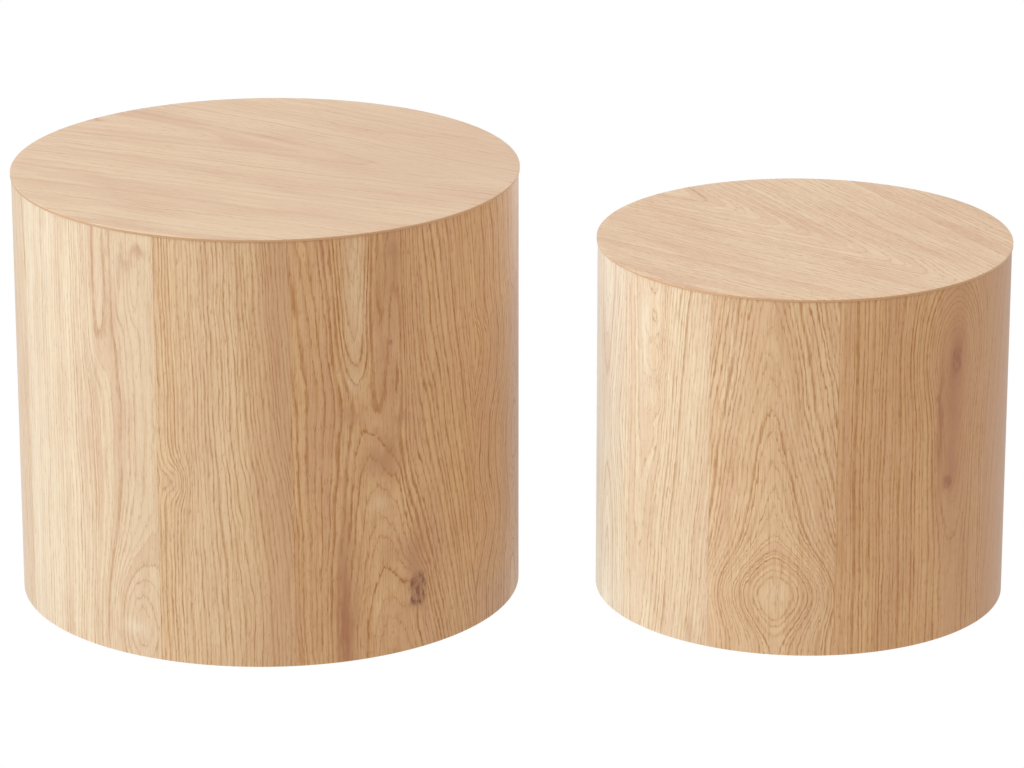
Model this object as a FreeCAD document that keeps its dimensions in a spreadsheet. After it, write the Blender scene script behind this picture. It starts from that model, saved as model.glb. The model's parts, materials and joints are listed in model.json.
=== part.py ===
"""Two round nesting tables: oak-veneered drums, open underneath, the small one fitting inside the large one.

Millimetres, +Z up, the floor at Z 0, and the origin midway between the outer ends of the pair, side by side.
Every piece of a table is modelled about that table's own upright axis and then placed at the table's spot.
"""

import FreeCAD, Part
import math
import os

import Sketcher

OUT_FOLDER = "parts"
TABLES = ("large", "small")
PLACES_AROUND = 6        # battens, and as many glides between them
FULL_TURN = 360.0

# Where the veneer leaves meet, in degrees round each drum from the front (-Y) towards +X.
LEAF_SEAMS = {
    "large": (-67.0, -22.7, 7.6, 56.2, 94.0, 134.0, 167.0, 213.0, 249.5),
    "small": (-61.0, -28.8, 6.5, 57.5, 95.0, 131.0, 178.0, 212.0, 255.5),
}
FRONT = -90.0            # the front of a table, as an angle from +X

SIZES = {
    "large_diameter": (550, "over the rim of the large top"),
    "large_height": (475, "floor to the top face of the large table"),
    "small_diameter": (450, "over the rim of the small top"),
    "small_height": (400, "floor to the top face of the small table"),
    "table_gap": (83, "clear floor between the two rims, side to side"),
    "small_forward": (18, "how far the small table stands in front of the large one"),
    "overhang": (1.2, "how far the top panel's rim stands proud of the veneered side"),
    "veneer": (0.6, "oak veneer"),
    "panel": (2.4, "thin board under the top veneer"),
    "lipping": (0.8, "oak strip round the panel's edge"),
    "rim_round": (0.3, "softened upper edge of the top"),
    "core": (18, "top core board and bottom ring board"),
    "shell": (9, "bent plywood wall"),
    "shell_joint": (0.04, "glue line between the two bent halves, as an angle in degrees"),
    "leaf_joint": (0.02, "glue line between veneer leaves, as an angle in degrees"),
    "floor_gap": (2, "wall's lower edge above the floor"),
    "ring_recess": (3, "ring's underside above the wall's lower edge"),
    "ring_width": (28, "bottom ring, measured radially"),
    "batten_width": (40, "batten, measured along the wall"),
    "batten_depth": (22, "batten, measured radially"),
    "splice_width": (60, "strip behind a joint of the bent halves, along the wall"),
    "splice_depth": (8, "the same strip, measured radially"),
    "fixing_inset": (11, "screws and dowels in from the wall's inner face"),
    "fixing_offset": (9, "screw to one side of a batten's middle, dowel to the other"),
    "screw_radius": (2, "4 mm wood screw"),
    "screw_head": (4, "its countersunk head's radius"),
    "screw_length": (48, "its length under the flush head"),
    "screw_point": (5, "its tapered point"),
    "recess_arm": (2.1, "half the span of the cross recess in its head"),
    "recess_half": (0.45, "half the width of the recess's arms"),
    "recess_depth": (1.4, "depth of the recess"),
    "dowel_radius": (4, "8 mm beech dowel"),
    "dowel_length": (30, "its length, half in the batten"),
    "dowel_relief": (1, "air space past each end of a dowel"),
    "hole_clearance": (0.05, "radial room round screws, dowels and nails"),
    "glide_radius": (11, "nail-on glide"),
    "glide_inset": (14, "its centre in from the wall's inner face"),
    "cup": (3, "glide's plastic cup"),
    "cup_wall": (1.2, "its side wall, which holds the felt"),
    "felt": (2, "felt below the cup's rim"),
    "felt_held": (1.2, "felt inside the cup"),
    "nail_radius": (1.25, "the nail moulded in the cup"),
    "nail_length": (14, "nail above the cup"),
    "nail_head": (3, "radius of the nail's head inside the cup"),
    "nail_head_depth": (0.8, "thickness of that head"),
}


def cell(name):
    return "Sizes." + name


def make_sheet(doc):
    sheet = doc.addObject("Spreadsheet::Sheet", "Sizes")
    for row, (alias, (value, note)) in enumerate(SIZES.items(), start=1):
        sheet.set(f"A{row}", alias)
        sheet.set(f"B{row}", str(value))
        sheet.set(f"C{row}", note)
        sheet.setAlias(f"B{row}", alias)
    doc.recompute()


class Table:
    """The expressions that place and size one table's pieces."""

    def __init__(self, name):
        other = "small" if name == "large" else "large"
        side = "-" if name == "large" else ""
        self.name = name
        self.x = f"{side}({cell('table_gap')} + {cell(other + '_diameter')}) / 2"
        self.y = f"-{cell('small_forward')}" if name == "small" else "0"
        self.height = cell(name + "_height")
        self.rim = f"{cell(name + '_diameter')} / 2"
        self.side = f"({self.rim} - {cell('overhang')})"
        self.shell_outer = f"({self.side} - {cell('veneer')})"
        self.inner = f"({self.shell_outer} - {cell('shell')})"
        self.ring_inner = f"({self.inner} - {cell('ring_width')})"
        self.wall_bottom = cell("floor_gap")
        self.wall_top = f"({self.height} - {cell('veneer')} - {cell('panel')})"
        self.core_bottom = f"({self.wall_top} - {cell('core')})"
        self.ring_bottom = f"({cell('floor_gap')} + {cell('ring_recess')})"
        self.ring_top = f"({self.ring_bottom} + {cell('core')})"
        self.fixing = f"({self.inner} - {cell('fixing_inset')})"


def place(obj, table):
    obj.setExpression("Placement.Base.x", table.x)
    obj.setExpression("Placement.Base.y", table.y)


def new_body(doc, table, piece):
    body = doc.addObject("PartDesign::Body", f"{table.name}_{piece}")
    body.Label = f"{table.name}_{piece}"
    body.AllowCompound = True
    place(body, table)
    return body


def plane(body, role):
    return next(item for item in body.Origin.OriginFeatures if item.Role == role)


def attach(body, name, role):
    """A new sketch on one of the body's own planes."""
    sketch = body.newObject("Sketcher::SketchObject", name)
    sketch.AttachmentSupport = [(plane(body, role), "")]
    sketch.MapMode = "FlatFace"
    return sketch


def value(obj, expression):
    """What an expression amounts to now, as a plain number."""
    return float(obj.evalExpression(expression))


def bind(sketch, kind, points, expression):
    """A dimension between a point and the origin, or of a circle, tied to the sheet."""
    constraint = Sketcher.Constraint(kind, *points, value(sketch, expression))
    index = sketch.addConstraint(constraint)
    sketch.setExpression(f"Constraints[{index}]", expression)


def closed_lines(sketch, corners):
    """Straight edges through the corners, joined end to end."""
    count = len(corners)
    for i in range(count):
        start, end = corners[i], corners[(i + 1) % count]
        line = Part.LineSegment(FreeCAD.Vector(*start, 0), FreeCAD.Vector(*end, 0))
        sketch.addGeometry(line, False)
    for i in range(count):
        sketch.addConstraint(Sketcher.Constraint("Coincident", i, 2, (i + 1) % count, 1))


def section(sketch, r_in, r_out, z_low, z_high):
    """The upright section of a ring, or of a disc if r_in is None, beside the table's axis."""
    left = 0.0 if r_in is None else value(sketch, r_in)
    right = value(sketch, r_out)
    low = value(sketch, z_low)
    high = value(sketch, z_high)
    closed_lines(sketch, ((left, low), (right, low), (right, high), (left, high)))
    for line, kind in ((0, "Horizontal"), (1, "Vertical"), (2, "Horizontal"), (3, "Vertical")):
        sketch.addConstraint(Sketcher.Constraint(kind, line))
    if r_in is None:
        sketch.addConstraint(Sketcher.Constraint("PointOnObject", 0, 1, -2))
    else:
        bind(sketch, "DistanceX", (-1, 1, 0, 1), r_in)
    bind(sketch, "DistanceX", (-1, 1, 0, 2), r_out)
    bind(sketch, "DistanceY", (-1, 1, 0, 1), z_low)
    bind(sketch, "DistanceY", (-1, 1, 2, 1), z_high)


def turned(doc, table, piece, r_in, r_out, z_low, z_high):
    """A disc, or a ring if r_in is given, turned about the table's axis."""
    body = new_body(doc, table, piece)
    sketch = attach(body, f"{table.name}_{piece}_section", "XZ_Plane")
    section(sketch, r_in, r_out, z_low, z_high)
    revolution = body.newObject("PartDesign::Revolution", f"{table.name}_{piece}_turn")
    revolution.Profile = sketch
    revolution.ReferenceAxis = (sketch, ["V_Axis"])
    revolution.Angle = FULL_TURN
    doc.recompute()
    return body


def pattern(body, features, name, count=PLACES_AROUND):
    """The features repeated evenly round the table's axis."""
    polar = body.newObject("PartDesign::PolarPattern", name)
    polar.Originals = list(features)
    polar.Axis = (plane(body, "Z_Axis"), [""])
    polar.Angle = FULL_TURN
    polar.Occurrences = count
    body.Tip = polar
    return polar


def batten_turn(body):
    """Turns a body so that its first piece sits half a place round from the joint of the bent halves."""
    body.Placement.Rotation = FreeCAD.Rotation(FreeCAD.Vector(0, 0, 1), FULL_TURN / PLACES_AROUND / 2)


def cut_round(doc, body, name, x, y, radius, z_from, z_to):
    """Round upright holes from z_from up to z_to, one at each batten or glide place."""
    sketch = attach(body, name + "_mark", "XY_Plane")
    centre = FreeCAD.Vector(value(sketch, x), 0 if y is None else value(sketch, y), 0)
    circle = Part.Circle(centre, FreeCAD.Vector(0, 0, 1), value(sketch, radius))
    sketch.addGeometry(circle, False)
    bind(sketch, "Radius", (0,), radius)
    bind(sketch, "DistanceX", (-1, 1, 0, 3), x)
    if y is None:
        sketch.addConstraint(Sketcher.Constraint("PointOnObject", 0, 3, -1))
    else:
        bind(sketch, "DistanceY", (-1, 1, 0, 3), y)
    sketch.setExpression("AttachmentOffset.Base.z", z_from)
    pocket = body.newObject("PartDesign::Pocket", name)
    pocket.Profile = sketch
    pocket.Type = "Length"
    pocket.setExpression("Length", f"{z_to} - {z_from}")
    pocket.Reversed = True
    doc.recompute()
    pattern(body, [pocket], name + "_round")
    doc.recompute()


def cut_profile(doc, body, name, x, y, points):
    """Turned upright holes, such as countersinks: points are (radius, height) expressions, going up."""
    sketch = side_sketch(body, name + "_section", y)
    upright_profile(sketch, x, points)
    groove = body.newObject("PartDesign::Groove", name)
    groove.Profile = sketch
    groove.ReferenceAxis = (sketch, ["Axis0"])
    groove.Angle = FULL_TURN
    doc.recompute()
    pattern(body, [groove], name + "_round")
    doc.recompute()


def side_sketch(body, name, y):
    """A sketch on an upright plane across X, moved y along the row's own Y."""
    sketch = attach(body, name, "XZ_Plane")
    if y is not None:
        sketch.setExpression("AttachmentOffset.Base.z", f"-({y})")
    return sketch


def upright_profile(sketch, x, points):
    """Half of a turned piece's section. The last line is its axis, at x, and points run up its outside."""
    low, high = points[0][1], points[-1][1]
    middle = value(sketch, x)
    outside = [(middle + value(sketch, radius), value(sketch, height)) for radius, height in points]
    corners = [(middle, outside[0][1]), *outside, (middle, outside[-1][1])]
    closed_lines(sketch, corners)
    last = len(corners) - 1
    sketch.addConstraint(Sketcher.Constraint("Vertical", last))
    sketch.addConstraint(Sketcher.Constraint("Horizontal", 0))
    sketch.addConstraint(Sketcher.Constraint("Horizontal", last - 1))
    bind(sketch, "DistanceX", (-1, 1, 0, 1), x)
    bind(sketch, "DistanceY", (-1, 1, 0, 1), low)
    bind(sketch, "DistanceY", (-1, 1, last, 1), high)
    for i, (radius, height) in enumerate(points):
        bind(sketch, "DistanceX", (0, 1, i, 2), radius)
        if 0 < i < len(points) - 1:
            bind(sketch, "DistanceY", (-1, 1, i, 2), height)
    foot = FreeCAD.Vector(*corners[0], 0)
    head = FreeCAD.Vector(*corners[-1], 0)
    axis = sketch.addGeometry(Part.LineSegment(foot, head), True)
    sketch.addConstraint(Sketcher.Constraint("Coincident", axis, 1, 0, 1))
    sketch.addConstraint(Sketcher.Constraint("Coincident", axis, 2, last, 1))


def turned_group(doc, table, piece, x, y, points):
    """Identical small turned pieces, one at each batten or glide place."""
    body = new_body(doc, table, piece)
    sketch = side_sketch(body, f"{table.name}_{piece}_section", y)
    upright_profile(sketch, x, points)
    revolution = body.newObject("PartDesign::Revolution", f"{table.name}_{piece}_turn")
    revolution.Profile = sketch
    revolution.ReferenceAxis = (sketch, ["Axis0"])
    revolution.Angle = FULL_TURN
    doc.recompute()
    return body, revolution


# --- the pieces of one table ------------------------------------------------------------------


def top_veneer(doc, table):
    """The oak face of the top, with a softened rim."""
    low = f"({table.height} - {cell('veneer')})"
    body = turned(doc, table, "top_veneer", None, table.rim, low, table.height)
    disc = body.Tip
    edges = disc.Shape.Edges
    rim = max(range(len(edges)), key=lambda i: edges[i].CenterOfMass.z + edges[i].Length)
    fillet = body.newObject("PartDesign::Fillet", f"{table.name}_top_rim_round")
    fillet.Base = (disc, [f"Edge{rim + 1}"])
    fillet.setExpression("Radius", cell("rim_round"))
    doc.recompute()
    return body


def top_panel(doc, table):
    """The thin board that carries the top veneer and laps over the wall."""
    high = f"({table.height} - {cell('veneer')})"
    return turned(doc, table, "top_panel", None, f"({table.rim} - {cell('lipping')})", table.wall_top, high)


def top_lipping(doc, table):
    """The oak strip that hides the panel's edge."""
    high = f"({table.height} - {cell('veneer')})"
    inner = f"({table.rim} - {cell('lipping')})"
    return turned(doc, table, "top_lipping", inner, table.rim, table.wall_top, high)


def screw_holes(doc, table, body, head_z, step, far_z):
    """Countersunk holes from a board's outer face, where step is '+' going up and '-' going down."""
    name = f"{body.Name}_screw_holes"
    shank = f"({cell('screw_radius')} + {cell('hole_clearance')})"
    head = f"({cell('screw_head')} + {cell('hole_clearance')})"
    sink = f"({head_z} {step} ({cell('screw_head')} - {cell('screw_radius')}))"
    points = [(head, head_z), (shank, sink), (shank, far_z)]
    if step == "-":
        points.reverse()
    cut_profile(doc, body, name, table.fixing, f"-{cell('fixing_offset')}", points)


def dowel_holes(doc, table, body, joint_z, low, high):
    """Blind holes for the dowels, on the side of the joint that this board lies."""
    radius = f"({cell('dowel_radius')} + {cell('hole_clearance')})"
    reach = f"({cell('dowel_length')} / 2 + {cell('dowel_relief')})"
    z_from = f"({joint_z} - {reach})" if low else joint_z
    z_to = f"({joint_z} + {reach})" if high else joint_z
    name = f"{body.Name}_dowel_holes_{'low' if low else 'high'}"
    cut_round(doc, body, name, table.fixing, cell("fixing_offset"), radius, z_from, z_to)


def top_core(doc, table):
    """The board that closes the wall's upper end and takes the battens' screws."""
    body = turned(doc, table, "top_core", None, table.inner, table.core_bottom, table.wall_top)
    screw_holes(doc, table, body, table.wall_top, "-", table.core_bottom)
    dowel_holes(doc, table, body, table.core_bottom, low=False, high=True)
    batten_turn(body)
    return body


def bottom_ring(doc, table):
    """The ring that keeps the wall's lower end round. The small table passes through the large one's."""
    body = turned(
        doc, table, "bottom_ring", table.ring_inner, table.inner, table.ring_bottom, table.ring_top
    )
    screw_holes(doc, table, body, table.ring_bottom, "+", table.ring_top)
    dowel_holes(doc, table, body, table.ring_top, low=True, high=False)
    nail_holes(doc, table, body)
    batten_turn(body)
    return body


def nail_holes(doc, table, body):
    """Pilot holes for the glides' nails, midway between the battens."""
    spread = FULL_TURN / PLACES_AROUND / 2
    inset = f"({table.inner} - {cell('glide_inset')})"
    x = f"{inset} * cos({spread})"
    y = f"{inset} * sin({spread})"
    radius = f"({cell('nail_radius')} + {cell('hole_clearance')})"
    top = f"({table.ring_bottom} + {cell('nail_length')} + {cell('dowel_relief')})"
    cut_round(doc, body, f"{body.Name}_nail_holes", x, y, radius, table.ring_bottom, top)


def wall_half(doc, table, piece, turn):
    """One of the two bent plywood halves of the wall."""
    body = new_body(doc, table, piece)
    sketch = attach(body, f"{table.name}_{piece}_section", "XZ_Plane")
    section(sketch, table.inner, table.shell_outer, table.wall_bottom, table.wall_top)
    revolution = body.newObject("PartDesign::Revolution", f"{table.name}_{piece}_bend")
    revolution.Profile = sketch
    revolution.ReferenceAxis = (sketch, ["V_Axis"])
    revolution.setExpression("Angle", f"180 - {cell('shell_joint')}")
    body.Placement.Rotation = FreeCAD.Rotation(FreeCAD.Vector(0, 0, 1), turn)
    doc.recompute()
    return body


def strip_section(sketch, outer, width, depth):
    """A strip's plan: an arc against the wall, two straight sides and a flat inner face."""
    reach = value(sketch, outer)
    half = value(sketch, width) / 2
    inner = reach - value(sketch, depth)
    angle = math.asin(half / reach)
    circle = Part.Circle(FreeCAD.Vector(0, 0, 0), FreeCAD.Vector(0, 0, 1), reach)
    sketch.addGeometry(Part.ArcOfCircle(circle, -angle, angle), False)
    corner = reach * math.cos(angle)
    corners = ((corner, half), (inner, half), (inner, -half), (corner, -half))
    for start, end in zip(corners, corners[1:]):
        line = Part.LineSegment(FreeCAD.Vector(*start, 0), FreeCAD.Vector(*end, 0))
        sketch.addGeometry(line, False)
    for first in range(4):
        sketch.addConstraint(Sketcher.Constraint("Coincident", first, 2, (first + 1) % 4, 1))
    sketch.addConstraint(Sketcher.Constraint("Coincident", 0, 3, -1, 1))
    sketch.addConstraint(Sketcher.Constraint("Horizontal", 1))
    sketch.addConstraint(Sketcher.Constraint("Horizontal", 3))
    sketch.addConstraint(Sketcher.Constraint("Symmetric", 2, 1, 2, 2, -1))
    bind(sketch, "Radius", (0,), outer)
    bind(sketch, "DistanceY", (2, 2, 2, 1), width)
    bind(sketch, "DistanceX", (-1, 1, 2, 1), f"{outer} - {depth}")


def wall_strip(doc, table, piece, width, depth, count):
    """Upright strips glued to the wall's inner face: battens, or splices behind the bent halves' joints."""
    body = new_body(doc, table, piece)
    sketch = attach(body, f"{table.name}_{piece}_section", "XY_Plane")
    strip_section(sketch, table.inner, width, depth)
    sketch.setExpression("AttachmentOffset.Base.z", table.ring_top)
    pad = body.newObject("PartDesign::Pad", f"{table.name}_{piece}_length")
    pad.Profile = sketch
    pad.setExpression("Length", f"{table.core_bottom} - {table.ring_top}")
    doc.recompute()
    pattern(body, [pad], f"{table.name}_{piece}_round", count)
    doc.recompute()
    return body


def battens(doc, table):
    """Six upright battens that tie the top core to the bottom ring, drilled at both ends."""
    body = wall_strip(doc, table, "battens", cell("batten_width"), cell("batten_depth"), PLACES_AROUND)
    shank = f"({cell('screw_radius')} + {cell('hole_clearance')})"
    bite = f"({cell('screw_length')} - {cell('core')} + {cell('dowel_relief')})"
    offset = f"-{cell('fixing_offset')}"
    low_end = f"({table.ring_top} + {bite})"
    high_end = f"({table.core_bottom} - {bite})"
    names = (f"{body.Name}_low_pilot", f"{body.Name}_high_pilot")
    cut_round(doc, body, names[0], table.fixing, offset, shank, table.ring_top, low_end)
    cut_round(doc, body, names[1], table.fixing, offset, shank, high_end, table.core_bottom)
    dowel_holes(doc, table, body, table.ring_top, low=False, high=True)
    dowel_holes(doc, table, body, table.core_bottom, low=True, high=False)
    batten_turn(body)
    return body


def splices(doc, table):
    """Two strips behind the joints of the bent halves."""
    return wall_strip(doc, table, "splices", cell("splice_width"), cell("splice_depth"), 2)


def veneer_leaves(doc, table):
    """The oak face of the wall, laid as leaves of different widths side by side."""
    seams = LEAF_SEAMS[table.name]
    profile = doc.addObject("Sketcher::SketchObject", f"{table.name}_leaf_section")
    profile.Placement = FreeCAD.Placement(
        FreeCAD.Vector(0, 0, 0), FreeCAD.Rotation(FreeCAD.Vector(1, 0, 0), 90)
    )
    section(profile, table.shell_outer, table.side, table.wall_bottom, table.wall_top)
    leaves = []
    for i, start in enumerate(seams):
        end = seams[(i + 1) % len(seams)] + (FULL_TURN if i == len(seams) - 1 else 0.0)
        leaf = doc.addObject("Part::Revolution", f"{table.name}_leaf_{i + 1}")
        leaf.Source = profile
        leaf.Axis = FreeCAD.Vector(0, 0, 1)
        leaf.Solid = True
        leaf.setExpression("Angle", f"{end - start} - {cell('leaf_joint')}")
        leaf.Placement.Rotation = FreeCAD.Rotation(FreeCAD.Vector(0, 0, 1), FRONT + start)
        leaves.append(leaf)
    group = doc.addObject("Part::Compound", f"{table.name}_side_veneer")
    group.Label = f"{table.name}_side_veneer"
    group.Links = leaves
    place(group, table)
    doc.recompute()
    return group


def screw_points(head_z, step):
    """A countersunk wood screw's outline, from its flush head to its point."""
    neck = f"({head_z} {step} ({cell('screw_head')} - {cell('screw_radius')}))"
    shoulder = f"({head_z} {step} ({cell('screw_length')} - {cell('screw_point')}))"
    tip = f"({head_z} {step} {cell('screw_length')})"
    points = [
        (cell("screw_head"), head_z),
        (cell("screw_radius"), neck),
        (cell("screw_radius"), shoulder),
        (f"{cell('screw_radius')} / 10", tip),
    ]
    return points if step == "+" else points[::-1]


def screws(doc, table, piece, head_z, step):
    """Wood screws through a board into the battens' ends, each with a cross recess in its head."""
    offset = f"-{cell('fixing_offset')}"
    body, turn = turned_group(doc, table, piece, table.fixing, offset, screw_points(head_z, step))
    mark = attach(body, f"{table.name}_{piece}_cross", "XY_Plane")
    cross(mark, table.fixing, offset)
    mark.setExpression("AttachmentOffset.Base.z", head_z)
    recess = body.newObject("PartDesign::Pocket", f"{table.name}_{piece}_recess")
    recess.Profile = mark
    recess.setExpression("Length", cell("recess_depth"))
    recess.Reversed = step == "+"
    doc.recompute()
    pattern(body, (turn, recess), f"{table.name}_{piece}_round")
    batten_turn(body)
    doc.recompute()
    return body


def cross(sketch, x, y):
    """A plus-shaped outline centred on a screw."""
    long, short = 2.0, 0.5
    shape = (
        (long, -short), (long, short), (short, short), (short, long), (-short, long), (-short, short),
        (-long, short), (-long, -short), (-short, -short), (-short, -long), (short, -long), (short, -short),
    )
    closed_lines(sketch, [(200.0 + dx, dy - 9.0) for dx, dy in shape])
    arm, half = cell("recess_arm"), cell("recess_half")
    size = {long: arm, short: half, -long: f"-{arm}", -short: f"-{half}"}
    for i, (dx, dy) in enumerate(shape):
        bind(sketch, "DistanceX", (-1, 1, i, 1), f"{x} + {size[dx]}")
        bind(sketch, "DistanceY", (-1, 1, i, 1), f"{y} + {size[dy]}")


def dowels(doc, table, piece, joint_z):
    """Beech dowels that locate a board on the battens' ends."""
    half = f"{cell('dowel_length')} / 2"
    points = [(cell("dowel_radius"), f"{joint_z} - {half}"), (cell("dowel_radius"), f"{joint_z} + {half}")]
    body, turn = turned_group(doc, table, piece, table.fixing, cell("fixing_offset"), points)
    pattern(body, [turn], f"{table.name}_{piece}_round")
    batten_turn(body)
    doc.recompute()
    return body


def glide_group(doc, table, piece, points):
    """A turned piece repeated at the glides' places, midway between the battens."""
    inset = f"({table.inner} - {cell('glide_inset')})"
    body, turn = turned_group(doc, table, piece, inset, None, points)
    pattern(body, [turn], f"{table.name}_{piece}_round")
    doc.recompute()
    return body


def glides(doc, table):
    """Nail-on glides under the bottom ring: a plastic cup, the nail moulded in it and a felt face."""
    cup_top = table.ring_bottom
    cup_rim = f"({cup_top} - {cell('cup')})"
    felt_top = f"({cup_rim} + {cell('felt_held')})"
    felt_radius = f"({cell('glide_radius')} - {cell('cup_wall')})"
    felt_bottom = f"({cup_rim} - {cell('felt')})"
    nail_low = f"({cup_top} - {cell('nail_head_depth')})"
    nail_high = f"({cup_top} + {cell('nail_length')})"

    cups = glide_group(
        doc, table, "glide_cups", [(cell("glide_radius"), cup_rim), (cell("glide_radius"), cup_top)]
    )
    hollow(doc, table, cups, "felt_seat", felt_radius, cup_rim, felt_top)
    hollow(doc, table, cups, "nail_seat", cell("nail_head"), nail_low, cup_top)

    glide_group(doc, table, "felt_pads", [(felt_radius, felt_bottom), (felt_radius, felt_top)])
    glide_group(
        doc,
        table,
        "glide_nails",
        [
            (cell("nail_head"), nail_low),
            (cell("nail_head"), cup_top),
            (cell("nail_radius"), cup_top),
            (cell("nail_radius"), f"({nail_high} - {cell('nail_radius')} * 2)"),
            (f"{cell('nail_radius')} / 10", nail_high),
        ],
    )


def hollow(doc, table, body, name, radius, z_from, z_to):
    """A round seat in every cup."""
    inset = f"({table.inner} - {cell('glide_inset')})"
    cut_round(doc, body, f"{body.Name}_{name}", inset, None, radius, z_from, z_to)


def build_table(doc, name):
    table = Table(name)
    top_veneer(doc, table)
    top_panel(doc, table)
    top_lipping(doc, table)
    top_core(doc, table)
    bottom_ring(doc, table)
    wall_half(doc, table, "wall_back", 0.0)
    wall_half(doc, table, "wall_front", 180.0)
    battens(doc, table)
    splices(doc, table)
    veneer_leaves(doc, table)
    screws(doc, table, "top_screws", table.wall_top, "-")
    screws(doc, table, "ring_screws", table.ring_bottom, "+")
    dowels(doc, table, "top_dowels", table.core_bottom)
    dowels(doc, table, "ring_dowels", table.ring_top)
    glides(doc, table)


def pieces(doc):
    """The document's finished pieces: every body, and the compounds of veneer leaves."""
    return [item for item in doc.Objects if item.TypeId in ("PartDesign::Body", "Part::Compound")]


def check(doc):
    for item in doc.Objects:
        bad = [word for word in item.State if word in ("Invalid", "Error")]
        if bad:
            raise RuntimeError(f"{item.Label} did not compute: {item.State}")
    for piece in pieces(doc):
        if piece.Shape.isNull() or not piece.Shape.isValid():
            raise RuntimeError(f"{piece.Label} has no valid shape")


def export(doc):
    os.makedirs(OUT_FOLDER, exist_ok=True)
    for piece in pieces(doc):
        piece.Shape.exportStep(os.path.join(OUT_FOLDER, piece.Label + ".step"))
        solids = piece.Shape.Solids
        volume = sum(solid.Volume for solid in solids) / 1000.0
        print(f"{piece.Label}: {len(solids)} solids, {volume:.1f} cm3")


def main():
    doc = FreeCAD.newDocument("nesting_tables")
    make_sheet(doc)
    for name in TABLES:
        build_table(doc, name)
    doc.recompute()
    check(doc)
    export(doc)


main()
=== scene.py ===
"""Looks for the two round nesting tables: laid oak veneer, raw boards inside, studio light, camera."""

import json
import math

import bmesh
import bpy
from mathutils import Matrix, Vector

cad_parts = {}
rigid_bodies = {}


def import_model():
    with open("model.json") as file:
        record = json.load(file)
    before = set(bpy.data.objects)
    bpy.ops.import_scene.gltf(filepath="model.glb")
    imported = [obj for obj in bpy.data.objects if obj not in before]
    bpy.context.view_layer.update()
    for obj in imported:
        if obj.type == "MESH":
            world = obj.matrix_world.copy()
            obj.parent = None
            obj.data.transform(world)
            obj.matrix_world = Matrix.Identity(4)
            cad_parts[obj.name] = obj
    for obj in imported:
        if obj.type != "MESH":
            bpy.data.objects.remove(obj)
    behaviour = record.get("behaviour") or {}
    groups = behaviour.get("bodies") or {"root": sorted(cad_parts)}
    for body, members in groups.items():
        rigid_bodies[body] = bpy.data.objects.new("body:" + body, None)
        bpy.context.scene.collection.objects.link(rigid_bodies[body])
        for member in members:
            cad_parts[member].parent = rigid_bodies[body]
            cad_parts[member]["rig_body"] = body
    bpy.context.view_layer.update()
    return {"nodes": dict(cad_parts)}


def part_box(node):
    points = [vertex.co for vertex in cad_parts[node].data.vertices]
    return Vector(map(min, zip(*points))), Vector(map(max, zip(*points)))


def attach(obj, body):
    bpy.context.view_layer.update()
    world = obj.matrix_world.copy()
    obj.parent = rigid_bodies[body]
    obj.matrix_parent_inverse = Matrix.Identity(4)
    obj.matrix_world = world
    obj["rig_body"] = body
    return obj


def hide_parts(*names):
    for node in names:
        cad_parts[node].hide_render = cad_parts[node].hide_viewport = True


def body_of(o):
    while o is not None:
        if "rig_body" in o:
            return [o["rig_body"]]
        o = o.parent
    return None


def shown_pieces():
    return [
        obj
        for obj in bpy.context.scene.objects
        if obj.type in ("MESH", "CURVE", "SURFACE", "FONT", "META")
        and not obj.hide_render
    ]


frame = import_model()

TABLES = ("large", "small")
MM = 0.001
MM_PER_METRE = 1000.0
ALL = 2000.0  # mm: far past every edge, for what covers a whole leaf or top
FRONT = math.radians(-90.0)
BACK = math.radians(90.0)
VENEER = 0.6 * MM
WALL = 9.0 * MM
WALL_PLIES = 7
LEAF_MAP = "leaf"  # the flat map that the oak is drawn on, in metres


# --- node graphs ------------------------------------------------------------------------------


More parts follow.
